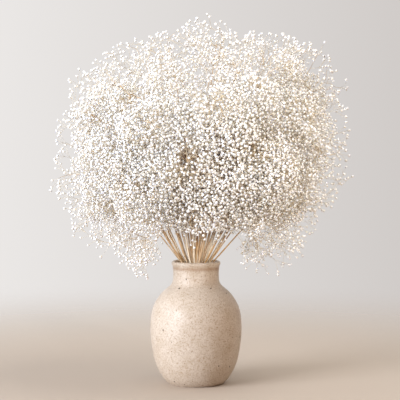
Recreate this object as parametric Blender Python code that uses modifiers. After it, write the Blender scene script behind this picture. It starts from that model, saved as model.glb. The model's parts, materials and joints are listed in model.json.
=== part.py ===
"""Dried gypsophila standing in a stoneware vase.

The vase is one thrown piece: an ovoid body, a short neck and a rolled lip. Thirty-seven cut stems stand
on its floor, pass through the neck without touching each other, and arch out over the lip into a round
crown. Each stem is one grown piece: the stalk, the twigs that fork from it and a floret on every twig.

Metres, +Z up. The origin is the middle of the vase's flat foot, on the surface that it stands on.
-Y is the front, where the lowest florets stop higher so that the bare stalks show above the lip.
"""

import math
import random

import bmesh
import bpy
import numpy as np
from mathutils import Vector

# Vase: radius and height of the points that its outside curves through, from the foot to under the lip.
VASE_HEIGHT = 0.200
VASE_OUTLINE = (
    (0.0448, 0.0000),
    (0.0567, 0.0140),
    (0.0680, 0.0400),
    (0.0744, 0.0830),
    (0.0710, 0.1210),
    (0.0578, 0.1455),
    (0.0400, 0.1625),
    (0.0372, 0.1770),
    (0.0378, 0.1900),
)
OUTLINE_STEPS = 2
LIP_RADIUS = 0.0035
LIP_REACH = 0.0398
LIP_STEPS = 5
WALL = 0.0050
FLOOR = 0.0060
VASE_SIDES = 32

# Stems: heights inside the vase with how widely they spread there, and how they leave its mouth.
STEM_COUNT = 37
FOOT_GAP = 0.0005
NECK_HEIGHT = 0.168
SPREAD_IN_VASE = ((FLOOR + FOOT_GAP, 0.0330), (0.085, 0.0285), (0.140, 0.0265), (NECK_HEIGHT, 0.0265))
TWIST_PER_METRE = math.radians(226)
MOUTH_SPREAD = 0.0302
MOUTH_LEAN = math.radians(44)
MOUTH_STIFFNESS = 0.36
TIP_STIFFNESS = 0.34
CROWN_TWIST = math.radians(14)
STALK_RADIUS = 0.0015
STALK_TIP_RADIUS = 0.0008
STALK_SIDES = 4
STALK_STEPS_ABOVE_MOUTH = 5
GOLDEN_ANGLE = math.pi * (3 - math.sqrt(5))

# Crown: the florets lie in a ball round this centre. Its reach is given for the left and right sides by
# the angle down from straight up, in degrees, and is one figure for the front and the back.
CROWN_CENTRE = Vector((0.0065, 0.0, 0.380))
LEFT_REACH = (
    (0, 0.218),
    (15, 0.198),
    (33, 0.217),
    (48, 0.217),
    (60, 0.236),
    (72, 0.224),
    (90, 0.232),
    (105, 0.245),
    (120, 0.249),
    (133, 0.227),
    (145, 0.232),
    (156, 0.220),
    (180, 0.150),
)
RIGHT_REACH = (
    (0, 0.220),
    (8, 0.217),
    (18, 0.193),
    (27, 0.207),
    (37, 0.227),
    (46, 0.262),
    (55, 0.256),
    (68, 0.253),
    (84, 0.238),
    (100, 0.243),
    (112, 0.227),
    (120, 0.211),
    (126, 0.240),
    (138, 0.230),
    (150, 0.236),
    (156, 0.207),
    (180, 0.150),
)
DEPTH_REACH = 0.206
STALK_REACH_SHARE = 0.90
STALK_LOWEST_TILT = math.radians(116)
TIP_DROOP_SHARE = 0.94

# Heads: where the florets may lie in the crown, and how far apart.
HEAD_COUNT = 388
HEAD_SPACING = 0.0355
HEAD_DEPTH = 0.46
HEAD_OUTWARD_POWER = 1.4
SIDE_LOWEST_TILT = math.radians(157)
FRONT_LOWEST_TILT = math.radians(131)
FUNNEL_RADIUS = 0.046
FUNNEL_SLOPE = 0.95
HEAD_SEED = 41
HEAD_TRIES = 60000

# Twigs: from where on the stalk they fork, how they choose their way, and the floret on each, which is
# larger than life so that this many cover the crown.
FIRST_FORK_SHARE = 0.22
RUN_WEIGHT = 0.35
FORK_ANGLE = math.radians(38)
FORK_WEIGHT = 0.9
ROOT_DEPTH = 0.0030
TWIG_RADIUS = 0.00080
TWIG_NECK_RADIUS = 0.00070
TWIG_SIDES = 3
FLORET_RADIUS = 0.0082
FLORET_DEPTH = 0.0062
FLORET_RISE = 0.0030
SAMPLE_STEP = 0.0025
NODE_GAP = 0.0018

WELD = 0.00001
STONEWARE = ("stoneware", (0.83, 0.74, 0.65, 1), 0.55)
DRIED_GYPSOPHILA = ("dried_gypsophila", (0.90, 0.87, 0.81, 1), 0.85)


def clear_scene():
    for obj in list(bpy.data.objects):
        bpy.data.objects.remove(obj)


def new_collection(name):
    collection = bpy.data.collections.new(name)
    bpy.context.scene.collection.children.link(collection)
    return collection


def material(name, colour, roughness):
    made = bpy.data.materials.new(name)
    made.use_nodes = True
    shader = made.node_tree.nodes["Principled BSDF"]
    shader.inputs["Base Color"].default_value = colour
    shader.inputs["Roughness"].default_value = roughness
    shader.inputs["Metallic"].default_value = 0
    return made


def smooth_through(points, steps):
    """Points on a Catmull-Rom curve through the given ones, with this many steps between neighbours."""
    first = 2 * points[0] - points[1]
    last = 2 * points[-1] - points[-2]
    held = [first, *points, last]
    curve = []
    for a, b, c, d in zip(held, held[1:], held[2:], held[3:]):
        for step in range(steps):
            t = step / steps
            bend = (2 * a - 5 * b + 4 * c - d) * t * t + (3 * b - a - 3 * c + d) * t**3
            curve.append(0.5 * (2 * b + (c - a) * t + bend))
    return [*curve, points[-1]]


def bezier(a, b, c, d, t):
    s = 1 - t
    return a * s**3 + b * 3 * s * s * t + c * 3 * s * t * t + d * t**3


# Vase


def vase_profile():
    """Half section, from the floor's middle up the inside, round the lip and down the outside."""
    through = [Vector((radius, 0, height)) for radius, height in VASE_OUTLINE]
    outer = smooth_through(through, OUTLINE_STEPS)
    inner = [Vector((p.x - WALL, 0, p.z)) for p in through if p.z > FLOOR]
    floor_edge = Vector((VASE_OUTLINE[0][0] - WALL / 2, 0, FLOOR))
    lip_centre = Vector((LIP_REACH - LIP_RADIUS, 0, VASE_HEIGHT - LIP_RADIUS))
    lip = []
    for step in range(LIP_STEPS):
        angle = math.radians(150 - 180 * step / (LIP_STEPS - 1))
        lip.append(lip_centre + LIP_RADIUS * Vector((math.cos(angle), 0, math.sin(angle))))
    return [Vector((0, 0, FLOOR)), floor_edge, *inner, *lip, *reversed(outer), Vector((0, 0, 0))]


def make_vase(collection, finish):
    profile = vase_profile()
    mesh = bpy.data.meshes.new("vase")
    mesh.from_pydata(profile, [(i, i + 1) for i in range(len(profile) - 1)], [])
    vase = bpy.data.objects.new("vase", mesh)
    collection.objects.link(vase)
    turn = vase.modifiers.new("turn", "SCREW")
    turn.axis = "Z"
    turn.steps = VASE_SIDES
    turn.render_steps = VASE_SIDES
    turn.use_merge_vertices = True
    turn.merge_threshold = WELD
    turn.use_smooth_shade = True
    mesh.materials.append(finish)
    return vase


# Crown


def crown_reach(tilt, turn):
    """How far the florets reach from the crown's centre, tilt down from straight up and turn about Z."""
    degrees = math.degrees(tilt)
    side = RIGHT_REACH if math.cos(turn) > 0 else LEFT_REACH
    sideways = np.interp(degrees, *zip(*side))
    upright = np.interp(degrees, (0, 60), (sideways, DEPTH_REACH))
    return float(sideways * math.cos(turn) ** 2 + upright * math.sin(turn) ** 2)


def direction(tilt, turn):
    return Vector((math.sin(tilt) * math.cos(turn), math.sin(tilt) * math.sin(turn), math.cos(tilt)))


def crown_point(tilt, turn, share):
    return CROWN_CENTRE + direction(tilt, turn) * (share * crown_reach(tilt, turn))


# Stalks


def stalk_path(number):
    """Centre line of one stalk, from its foot on the vase's floor to its tip in the crown.

    Every stalk keeps its place among the others at each height, so that no two of them meet.
    """
    spread = math.sqrt((number + 0.5) / STEM_COUNT)
    turn = number * GOLDEN_ANGLE
    path = []
    for height, radius in SPREAD_IN_VASE:
        twisted = turn + TWIST_PER_METRE * (height - NECK_HEIGHT)
        path.append(direction(math.pi / 2, twisted) * spread * radius + Vector((0, 0, height)))
    mouth = direction(math.pi / 2, turn) * spread * MOUTH_SPREAD + Vector((0, 0, VASE_HEIGHT))
    tilt = math.acos(1 - spread * spread * (1 - math.cos(STALK_LOWEST_TILT)))
    tip = crown_point(tilt, turn + CROWN_TWIST, STALK_REACH_SHARE)
    length = (tip - mouth).length
    leaving = mouth + direction(MOUTH_LEAN * spread, turn) * length * MOUTH_STIFFNESS
    arriving = tip - direction(tilt * TIP_DROOP_SHARE, turn + CROWN_TWIST) * length * TIP_STIFFNESS
    for step in range(STALK_STEPS_ABOVE_MOUTH + 1):
        path.append(bezier(mouth, leaving, arriving, tip, step / STALK_STEPS_ABOVE_MOUTH))
    return path


def run_along(path):
    """Length from the path's start to each of its points."""
    runs = [0.0]
    for a, b in zip(path, path[1:]):
        runs.append(runs[-1] + (b - a).length)
    return runs


# Florets and the twigs that carry them


def holds_florets(place, tilt, turn):
    """False in the funnel of bare stalks over the mouth and below the crown's lower edge."""
    lowest = FRONT_LOWEST_TILT + (SIDE_LOWEST_TILT - FRONT_LOWEST_TILT) * math.cos(turn) ** 2
    funnel = FUNNEL_RADIUS + FUNNEL_SLOPE * max(0.0, place.z - VASE_HEIGHT)
    return tilt < lowest and (place.z > CROWN_CENTRE.z or math.hypot(place.x, place.y) > funnel)


def scatter_heads(draw):
    """Places of the florets in the crown, more of them near its outside, each clear of those before it."""
    heads = np.zeros((0, 3))
    for _ in range(HEAD_TRIES):
        if len(heads) == HEAD_COUNT:
            break
        tilt = math.acos(1 - 2 * draw.random())
        turn = 2 * math.pi * draw.random()
        place = crown_point(tilt, turn, 1 - HEAD_DEPTH * draw.random() ** HEAD_OUTWARD_POWER)
        if not holds_florets(place, tilt, turn):
            continue
        if len(heads) and np.linalg.norm(heads - place, axis=1).min() < HEAD_SPACING:
            continue
        heads = np.vstack([heads, place])
    return [Vector(head) for head in heads]


def share_out(heads, paths):
    """The heads that each stalk carries: those that lie nearest to it."""
    shares = [[] for _ in paths]
    for head in heads:
        gaps = []
        for path in paths:
            above_mouth = np.array(path[-STALK_STEPS_ABOVE_MOUTH:])
            gaps.append(np.linalg.norm(above_mouth - head, axis=1).min())
        shares[int(np.argmin(gaps))].append(head)
    return shares


def fork_cost(head, place, growing, run):
    """What it costs to reach a head from a point: the twig, the run behind it and a wrong fork angle."""
    reach = head - place
    angle = reach.angle(growing)
    return reach.length * (1 + FORK_WEIGHT * (angle - FORK_ANGLE) ** 2) + RUN_WEIGHT * run


def grow_twigs(path, heads, room, owner):
    """Lines and radii of the twigs from the stalk, or from a twig that is there already, to each head.

    A head whose twig would touch another stem is left out.
    """
    runs = run_along(path)
    first = runs[-1] * FIRST_FORK_SHARE + runs[-STALK_STEPS_ABOVE_MOUTH - 1] * (1 - FIRST_FORK_SHARE)
    points = []
    for place, before, run in zip(path[1:], path, runs[1:]):
        along = place - before
        if run > first:
            points.append((place - along.normalized() * ROOT_DEPTH, along, run))
            points.append(((place + before) / 2, along, run - along.length / 2))
    waiting = {}
    for index, head in enumerate(heads):
        waiting[index] = min((fork_cost(head, *point), at) for at, point in enumerate(points))
    twigs = []
    while waiting:
        index = min(waiting, key=waiting.get)
        start, growing, run = points[waiting.pop(index)[1]]
        end = heads[index]
        line, radii = twig_with_floret(start, end)
        if not room.is_clear(line, radii, owner):
            continue
        room.add(line, radii, owner)
        twigs.append((line, radii))
        points.append((end, end - start, run + (end - start).length))
        for other in waiting:
            cost = fork_cost(heads[other], *points[-1])
            waiting[other] = min(waiting[other], (cost, len(points) - 1))
    return twigs


class Occupied:
    """The room that the stems take, as points with a radius and the number of the stem that they are on."""

    def __init__(self):
        self.places = np.zeros((0, 3))
        self.radii = np.zeros(0)
        self.owners = np.zeros(0, int)

    def samples(self, path, radii):
        places, sizes = [], []
        for a, b, r, s in zip(path, path[1:], radii, radii[1:]):
            count = max(1, math.ceil((b - a).length / SAMPLE_STEP))
            for step in range(count + 1):
                places.append(a.lerp(b, step / count))
                sizes.append(r + (s - r) * step / count)
        return np.array(places), np.array(sizes)

    def is_clear(self, path, radii, owner):
        places, sizes = self.samples(path, radii)
        others = self.owners != owner
        gaps = np.linalg.norm(places[:, None] - self.places[others][None], axis=2)
        gaps -= sizes[:, None] + self.radii[others][None]
        return not gaps.size or gaps.min() > NODE_GAP

    def add(self, path, radii, owner):
        places, sizes = self.samples(path, radii)
        self.places = np.vstack([self.places, places])
        self.radii = np.concatenate([self.radii, sizes])
        self.owners = np.concatenate([self.owners, np.full(len(sizes), owner)])


# Tubes and joined stems


def section_curve(sides):
    """A closed outline with this many corners, which a tube is drawn along its path with."""
    outline = bpy.data.curves.new(f"section_{sides}", "CURVE")
    outline.dimensions = "2D"
    spline = outline.splines.new("POLY")
    spline.points.add(sides - 1)
    for corner, point in enumerate(spline.points):
        angle = 2 * math.pi * corner / sides
        point.co = (math.cos(angle), math.sin(angle), 0, 1)
    spline.use_cyclic_u = True
    section = bpy.data.objects.new(f"section_{sides}", outline)
    section.hide_render = True
    section.display_type = "WIRE"
    return section


def tube(name, path, radii, section, collection):
    """A closed tube along a path, with its own radius at each point."""
    line = bpy.data.curves.new(name, "CURVE")
    line.dimensions = "3D"
    line.bevel_mode = "OBJECT"
    line.bevel_object = section
    line.use_fill_caps = True
    spline = line.splines.new("POLY")
    spline.points.add(len(path) - 1)
    for point, place, radius in zip(spline.points, path, radii):
        point.co = (*place, 1)
        point.radius = radius
    made = bpy.data.objects.new(name, line)
    collection.objects.link(made)
    return made


def stalk_radii(path):
    runs = run_along(path)
    return [STALK_RADIUS + (STALK_TIP_RADIUS - STALK_RADIUS) * run / runs[-1] for run in runs]


def twig_with_floret(start, end):
    """Path and radii of a twig whose end widens into a floret."""
    along = (end - start).normalized()
    path = [start, end - along * FLORET_DEPTH, end, end + along * FLORET_RISE]
    return path, [TWIG_RADIUS, TWIG_NECK_RADIUS, FLORET_RADIUS, FLORET_RADIUS]


def as_closed_mesh(tube_object, graph, collection):
    """The tube as a mesh with its caps welded on, in place of the curve."""
    name = tube_object.name
    mesh = bpy.data.meshes.new_from_object(tube_object.evaluated_get(graph))
    shape = bmesh.new()
    shape.from_mesh(mesh)
    bmesh.ops.remove_doubles(shape, verts=shape.verts, dist=WELD)
    bmesh.ops.recalc_face_normals(shape, faces=shape.faces)
    shape.to_mesh(mesh)
    shape.free()
    made = bpy.data.objects.new(name + "_mesh", mesh)
    made.matrix_world = tube_object.matrix_world
    collection.objects.link(made)
    bpy.data.objects.remove(tube_object)
    return made


def keep_body(mesh):
    """Drops the specks that a union can leave where several roots meet inside the body."""
    shape = bmesh.new()
    shape.from_mesh(mesh)
    waiting = set(shape.verts)
    shells = []
    while waiting:
        shell = set()
        reached = {waiting.pop()}
        while reached:
            vert = reached.pop()
            shell.add(vert)
            reached |= {edge.other_vert(vert) for edge in vert.link_edges} - shell
        waiting -= shell
        shells.append(shell)
    body = max(shells, key=len)
    specks = [vert for vert in shape.verts if vert not in body]
    bmesh.ops.delete(shape, geom=specks, context="VERTS")
    shape.to_mesh(mesh)
    shape.free()


def join_twigs(stalk, twigs):
    """Fuses the twigs in a collection onto their stalk, in place."""
    union = stalk.modifiers.new("twigs", "BOOLEAN")
    union.operation = "UNION"
    union.operand_type = "COLLECTION"
    union.collection = twigs
    union.solver = "MANIFOLD"
    graph = bpy.context.evaluated_depsgraph_get()
    joined = bpy.data.meshes.new_from_object(stalk.evaluated_get(graph))
    keep_body(joined)
    stalk.modifiers.clear()
    stalk.data = joined
    for twig in list(twigs.objects):
        bpy.data.objects.remove(twig)
    bpy.data.collections.remove(twigs)


def make_stems(collection, finish):
    draw = random.Random(HEAD_SEED)
    paths = [stalk_path(number) for number in range(STEM_COUNT)]
    shares = share_out(scatter_heads(draw), paths)
    room = Occupied()
    for owner, path in enumerate(paths):
        room.add(path, stalk_radii(path), owner)
    stalk_section = section_curve(STALK_SIDES)
    twig_section = section_curve(TWIG_SIDES)
    stalks, bunches = [], []
    for owner, (path, heads) in enumerate(zip(paths, shares)):
        name = f"gypsophila_stem_{owner + 1:02d}"
        stalks.append(tube(name + "_line", path, stalk_radii(path), stalk_section, collection))
        bunch = new_collection(name + "_twigs")
        bunches.append(bunch)
        for number, (line, radii) in enumerate(grow_twigs(path, heads, room, owner)):
            twig = tube(f"{name}_twig_{number:02d}", line, radii, twig_section, bunch)
            twig.data.splines[0].points[-1].tilt = math.pi / TWIG_SIDES
    graph = bpy.context.evaluated_depsgraph_get()
    for bunch in bunches:
        for line in list(bunch.objects):
            as_closed_mesh(line, graph, bunch)
    meshes = [as_closed_mesh(line, graph, collection) for line in stalks]
    for owner, (stalk, bunch) in enumerate(zip(meshes, bunches)):
        join_twigs(stalk, bunch)
        stalk.name = f"gypsophila_stem_{owner + 1:02d}"
        stalk.data.materials.clear()
        stalk.data.materials.append(finish)
    for section in (stalk_section, twig_section):
        bpy.data.objects.remove(section)


clear_scene()
gypsophila = new_collection("gypsophila_in_vase")
make_vase(gypsophila, material(*STONEWARE))
make_stems(gypsophila, material(*DRIED_GYPSOPHILA))
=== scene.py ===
"""Dried gypsophila in a speckled stoneware vase.

Thirty-seven cut stems stand in the vase. They pass through its neck, arch out over the lip and fork into
cymes of small papery florets that together make a round, airy crown.
"""

import itertools
import json
import math
import random

import bmesh
import bpy
import numpy as np
from mathutils import Matrix, Vector, noise

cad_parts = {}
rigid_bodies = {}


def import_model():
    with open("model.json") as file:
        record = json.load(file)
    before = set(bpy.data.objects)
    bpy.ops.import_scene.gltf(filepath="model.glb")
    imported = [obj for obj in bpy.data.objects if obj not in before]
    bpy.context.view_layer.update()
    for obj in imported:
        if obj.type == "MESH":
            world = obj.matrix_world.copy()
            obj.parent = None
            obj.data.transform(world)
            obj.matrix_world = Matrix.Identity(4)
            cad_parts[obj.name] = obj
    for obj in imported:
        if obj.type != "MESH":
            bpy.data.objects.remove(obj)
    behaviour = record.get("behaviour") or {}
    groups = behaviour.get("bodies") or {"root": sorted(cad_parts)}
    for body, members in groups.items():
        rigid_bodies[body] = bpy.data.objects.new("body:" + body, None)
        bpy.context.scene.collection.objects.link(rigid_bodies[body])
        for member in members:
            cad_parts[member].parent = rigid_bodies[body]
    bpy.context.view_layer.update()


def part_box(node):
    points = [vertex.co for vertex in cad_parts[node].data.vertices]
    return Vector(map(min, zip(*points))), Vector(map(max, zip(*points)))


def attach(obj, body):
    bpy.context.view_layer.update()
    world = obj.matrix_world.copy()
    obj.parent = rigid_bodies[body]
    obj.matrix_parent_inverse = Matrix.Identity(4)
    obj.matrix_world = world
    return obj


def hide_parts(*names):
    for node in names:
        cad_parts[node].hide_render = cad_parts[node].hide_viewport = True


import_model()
made_for_scene = bpy.data.collections.new("gypsophila_in_vase")
bpy.context.scene.collection.children.link(made_for_scene)


# The vase
# One piece of light stoneware, thrown on a wheel, with a rolled lip. The thin satin glaze is fired on and
# leaves the clay's iron specks showing through, and it turns tan in a narrow band just under the lip.

VASE_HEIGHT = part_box("vase")[1][2]
VASE_OUTLINE = (
    (0.0448, 0.0000),
    (0.0567, 0.0140),
    (0.0680, 0.0400),
    (0.0744, 0.0830),
    (0.0710, 0.1210),
    (0.0578, 0.1455),
    (0.0400, 0.1625),
    (0.0372, 0.1770),
    (0.0378, 0.1900),
)
LIP_RADIUS = 0.0035
LIP_REACH = 0.0398
WALL = 0.0050
FLOOR = 0.0060
OUTLINE_STEPS = 7
LIP_ANGLES = (165, -48)
LIP_STEPS = 14
FOOT_ROUNDING = 0.0016
FOOT_ANGLES = (-30, -90)
FOOT_STEPS = 4
VASE_TURNS = 96
THROWING_RING_PITCH = 0.0065
THROWING_RING_DEPTH = 0.00010
RING_DRIFTS_PER_METRE = 14
OUT_OF_ROUND = 0.0004
SWELLS_PER_METRE = 11
THROWN_ABOVE = 0.012
THROWN_BELOW_MOUTH = 0.020
THROWN_FADE = 0.030
MOTTLE_SIZE = 0.018
GRIT_SIZE = 0.0026
UNDER_LIP_TAN_BAND = (0.1845, 0.1935)
# Each kind of iron speck: its spacing, its greatest width and its colour.
SPECKS = ((0.0055, 0.0009, "7d5b3c"), (0.0170, 0.0021, "3a2818"))


def smooth_through(points, steps):
    """Points on a Catmull-Rom curve through the given ones, with this many steps between neighbours."""
    held = [2 * points[0] - points[1], *points, 2 * points[-1] - points[-2]]
    curve = []
    for a, b, c, d in zip(held, held[1:], held[2:], held[3:]):
        for step in range(steps):
            t = step / steps
            bend = (2 * a - 5 * b + 4 * c - d) * t**2 + (3 * b - a - 3 * c + d) * t**3
            curve.append(0.5 * (2 * b + (c - a) * t + bend))
    return [*curve, points[-1]]


def arc(centre, radius, start, end, steps):
    """Points on an arc in the XZ plane, its angles in degrees from +X towards +Z."""
    points = []
    for step in range(steps + 1):
        angle = math.radians(start + (end - start) * step / steps)
        points.append(centre + radius * Vector((math.cos(angle), 0, math.sin(angle))))
    return points


def new_piece(name, shape, *finishes):
    """Makes an object of a bmesh, with its place in its mesh, and lets it ride on the one body."""
    mesh = bpy.data.meshes.new(name)
    shape.to_mesh(mesh)
    shape.free()
    for finish in finishes:
        mesh.materials.append(finish)
    mesh.shade_smooth()
    piece = bpy.data.objects.new(name, mesh)
    made_for_scene.objects.link(piece)
    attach(piece, "root")
    return piece


def vase_section():
    """Half section of the wall, from the floor's middle up the inside and down the outside to the foot."""
    through = [Vector((radius, 0, height)) for radius, height in VASE_OUTLINE]
    outside = smooth_through(through, OUTLINE_STEPS)
    inside = [Vector((p.x - WALL, 0, p.z)) for p in outside if p.z > 2 * FLOOR]
    floor_edge = Vector((VASE_OUTLINE[0][0] - WALL / 2, 0, FLOOR))
    lip_middle = Vector((LIP_REACH - LIP_RADIUS, 0, VASE_HEIGHT - LIP_RADIUS))
    lip = arc(lip_middle, LIP_RADIUS, *LIP_ANGLES, LIP_STEPS)
    foot_middle = Vector((VASE_OUTLINE[0][0] - FOOT_ROUNDING, 0, FOOT_ROUNDING))
    foot = arc(foot_middle, FOOT_ROUNDING, *FOOT_ANGLES, FOOT_STEPS)
    wall = [p for p in outside if p.z > FOOT_ROUNDING]
    return [Vector((0, 0, FLOOR)), floor_edge, *inside, *lip, *reversed(wall), *foot, Vector((0, 0, 0))]


def thrown(place):
    """Where a point of the turned wall lies once the potter's fingers have left their mark."""
    radius = math.hypot(place.x, place.y)
    if radius < LIP_RADIUS:
        return place
    above_foot = min(1, max(0, place.z - THROWN_ABOVE) / THROWN_FADE)
    below_mouth = min(1, max(0, VASE_HEIGHT - THROWN_BELOW_MOUTH - place.z) / THROWN_FADE)
    drift = noise.noise(place * RING_DRIFTS_PER_METRE)
    rings = math.sin(math.tau * place.z / THROWING_RING_PITCH + drift)
    swell = noise.noise(Vector((place.x, place.y, place.z * 0.5)) * SWELLS_PER_METRE)
    grown = radius + above_foot * below_mouth * (THROWING_RING_DEPTH * rings + OUT_OF_ROUND * swell)
    return Vector((place.x * grown / radius, place.y * grown / radius, place.z))


def linear(code):
    """Linear RGBA of an sRGB colour in hex."""
    channels = [int(code[at : at + 2], 16) / 255 for at in (0, 2, 4)]
    return (*[c / 12.92 if c <= 0.04045 else ((c + 0.055) / 1.055) ** 2.4 for c in channels], 1)


def add_node(tree, kind, sockets=None, **settings):
    """Adds a shader node. A socket takes a constant, or another node's output that is linked to it."""
    node = tree.nodes.new("ShaderNode" + kind)
    for name, value in settings.items():
        setattr(node, name, value)
    for name, value in (sockets or {}).items():
        if isinstance(value, bpy.types.NodeSocket):
            tree.links.new(value, node.inputs[name])
        else:
            node.inputs[name].default_value = value
    return node


def new_finish(name):
    """A new material, its node tree and its Principled node."""
    finish = bpy.data.materials.new(name)
    finish.use_nodes = True
    return finish, finish.node_tree, finish.node_tree.nodes["Principled BSDF"]


def speckled_stoneware():
    """Buff stoneware, dipped in a thin oatmeal glaze and fired to a satin skin.

    The glaze drifts from cream to putty over the fine tan grit of the clay. It turns tan in a narrow band
    just under the lip, and iron in the clay bleeds through it in brown and near-black specks.
    """
    finish, tree, shader = new_finish("speckled_stoneware")
    place = add_node(tree, "TexCoord").outputs["Object"]
    mottle = add_node(
        tree,
        "TexNoise",
        {"Vector": place, "Scale": 1 / MOTTLE_SIZE, "Detail": 5.0, "Roughness": 0.6},
    )
    clay = add_node(
        tree,
        "MixRGB",
        {"Fac": mottle.outputs["Fac"], "Color1": linear("b5a38c"), "Color2": linear("dcd2c6")},
    )
    height = add_node(tree, "SeparateXYZ", {"Vector": place}).outputs["Z"]
    # A tan band just under the lip, strongest in its middle.
    under_lip = add_node(
        tree,
        "MapRange",
        {"Value": height, "From Min": UNDER_LIP_TAN_BAND[0], "From Max": UNDER_LIP_TAN_BAND[1]},
    )
    under_lip_tan = add_node(tree, "Math", {0: under_lip.outputs["Result"], 1: 0.5}, operation="PINGPONG")
    glazed = add_node(
        tree,
        "MixRGB",
        {"Fac": under_lip_tan.outputs["Value"], "Color1": clay.outputs["Color"], "Color2": linear("85592f")},
    )
    grit = add_node(
        tree,
        "TexNoise",
        {"Vector": place, "Scale": 1 / GRIT_SIZE, "Detail": 5.0, "Roughness": 0.85},
    )
    showing = add_node(
        tree,
        "MapRange",
        {"Value": grit.outputs["Fac"], "From Min": 0.47, "From Max": 0.66, "To Max": 0.80},
    )
    gritty = add_node(
        tree,
        "MixRGB",
        {"Fac": showing.outputs["Result"], "Color1": glazed.outputs["Color"], "Color2": linear("8f6d47")},
    )
    coloured = gritty.outputs["Color"]
    for spacing, widest, iron in SPECKS:
        spots = add_node(tree, "TexVoronoi", {"Vector": place, "Scale": 1 / spacing, "Randomness": 1.0})
        size = add_node(
            tree,
            "Math",
            {0: spots.outputs["Color"], 1: widest / spacing},
            operation="MULTIPLY",
        )
        inside = add_node(
            tree,
            "Math",
            {0: spots.outputs["Distance"], 1: size.outputs["Value"]},
            operation="LESS_THAN",
        )
        speckled = add_node(
            tree,
            "MixRGB",
            {"Fac": inside.outputs["Value"], "Color1": coloured, "Color2": linear(iron)},
        )
        coloured = speckled.outputs["Color"]
    tree.links.new(coloured, shader.inputs["Base Color"])
    shader.inputs["Roughness"].default_value = 0.46
    shader.inputs["IOR"].default_value = 1.5
    ripple = add_node(tree, "Bump", {"Height": grit.outputs["Fac"], "Strength": 0.25, "Distance": 0.0003})
    tree.links.new(ripple.outputs["Normal"], shader.inputs["Normal"])
    return finish


section = bmesh.new()
corners = [section.verts.new(point) for point in vase_section()]
edges = [section.edges.new(pair) for pair in zip(corners, corners[1:])]
bmesh.ops.spin(
    section,
    geom=[*corners, *edges],
    cent=(0, 0, 0),
    axis=(0, 0, 1),
    angle=math.tau,
    steps=VASE_TURNS,
    use_merge=True,
)
bmesh.ops.remove_doubles(section, verts=section.verts, dist=0.00001)
for vert in section.verts:
    vert.co = thrown(vert.co)
bmesh.ops.recalc_face_normals(section, faces=section.faces)
vase = new_piece("thrown_vase", section, speckled_stoneware())
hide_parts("vase")


# The stalks
# Cut stalks of gypsophila, dried to a hollow straw 2 to 3 mm thick. They stand on the vase's floor, are
# squeezed together and twisted a little by its neck, and spread like a fountain above it.

STEM_COUNT = 37
MOUTH_HEIGHT = 0.200
FOOT_GAP = 0.0005
NECK_HEIGHT = 0.168
SPREAD_IN_VASE = ((FLOOR + FOOT_GAP, 0.0330), (0.085, 0.0285), (0.140, 0.0265), (NECK_HEIGHT, 0.0265))
TWIST_PER_METRE = math.radians(226)
MOUTH_SPREAD = 0.0302
MOUTH_LEAN = math.radians(44)
MOUTH_STIFFNESS = 0.36
TIP_STIFFNESS = 0.34
CROWN_TWIST = math.radians(14)
STALK_RADIUS = 0.0015
STALK_TIP_RADIUS = 0.0004
STALK_STEPS_ABOVE_MOUTH = 5
STALK_FINENESS = 4
GOLDEN_ANGLE = math.pi * (3 - math.sqrt(5))

CROWN_CENTRE = Vector((0.0065, 0.0, 0.380))
LEFT_REACH = (
    (0, 0.218),
    (15, 0.198),
    (33, 0.217),
    (48, 0.217),
    (60, 0.236),
    (72, 0.224),
    (90, 0.232),
    (105, 0.245),
    (120, 0.249),
    (133, 0.227),
    (145, 0.232),
    (156, 0.220),
    (180, 0.150),
)
RIGHT_REACH = (
    (0, 0.220),
    (8, 0.217),
    (18, 0.193),
    (27, 0.207),
    (37, 0.227),
    (46, 0.262),
    (55, 0.256),
    (68, 0.253),
    (84, 0.238),
    (100, 0.243),
    (112, 0.227),
    (120, 0.211),
    (126, 0.240),
    (138, 0.230),
    (150, 0.236),
    (156, 0.207),
    (180, 0.150),
)
DEPTH_REACH = 0.206
STALK_REACH_SHARE = 0.90
STALK_LOWEST_TILT = math.radians(116)
TIP_DROOP_SHARE = 0.94


def crown_reach(tilt, turn):
    """How far the florets reach from the crown's centre, tilt down from straight up and turn about Z."""
    degrees = math.degrees(tilt)
    side = RIGHT_REACH if math.cos(turn) > 0 else LEFT_REACH
    sideways = np.interp(degrees, *zip(*side))
    upright = np.interp(degrees, (0, 60), (sideways, DEPTH_REACH))
    return float(sideways * math.cos(turn) ** 2 + upright * math.sin(turn) ** 2)


def direction(tilt, turn):
    return Vector((math.sin(tilt) * math.cos(turn), math.sin(tilt) * math.sin(turn), math.cos(tilt)))


def crown_point(tilt, turn, share):
    return CROWN_CENTRE + direction(tilt, turn) * (share * crown_reach(tilt, turn))


def bezier(a, b, c, d, t):
    s = 1 - t
    return a * s**3 + b * 3 * s * s * t + c * 3 * s * t * t + d * t**3


def stalk_path(number, steps_above_mouth):
    """Centre line of one stalk, from its foot on the vase's floor to its tip in the crown."""
    spread = math.sqrt((number + 0.5) / STEM_COUNT)
    turn = number * GOLDEN_ANGLE
    path = []
    for height, radius in SPREAD_IN_VASE:
        twisted = turn + TWIST_PER_METRE * (height - NECK_HEIGHT)
        path.append(direction(math.pi / 2, twisted) * spread * radius + Vector((0, 0, height)))
    mouth = direction(math.pi / 2, turn) * spread * MOUTH_SPREAD + Vector((0, 0, MOUTH_HEIGHT))
    tilt = math.acos(1 - spread * spread * (1 - math.cos(STALK_LOWEST_TILT)))
    tip = crown_point(tilt, turn + CROWN_TWIST, STALK_REACH_SHARE)
    length = (tip - mouth).length
    leaving = mouth + direction(MOUTH_LEAN * spread, turn) * length * MOUTH_STIFFNESS
    arriving = tip - direction(tilt * TIP_DROOP_SHARE, turn + CROWN_TWIST) * length * TIP_STIFFNESS
    for step in range(steps_above_mouth + 1):
        path.append(bezier(mouth, leaving, arriving, tip, step / steps_above_mouth))
    return path


def run_along(path):
    """Length from the path's start to each of its points."""
    runs = [0.0]
    for a, b in zip(path, path[1:]):
        runs.append(runs[-1] + (b - a).length)
    return runs


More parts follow.
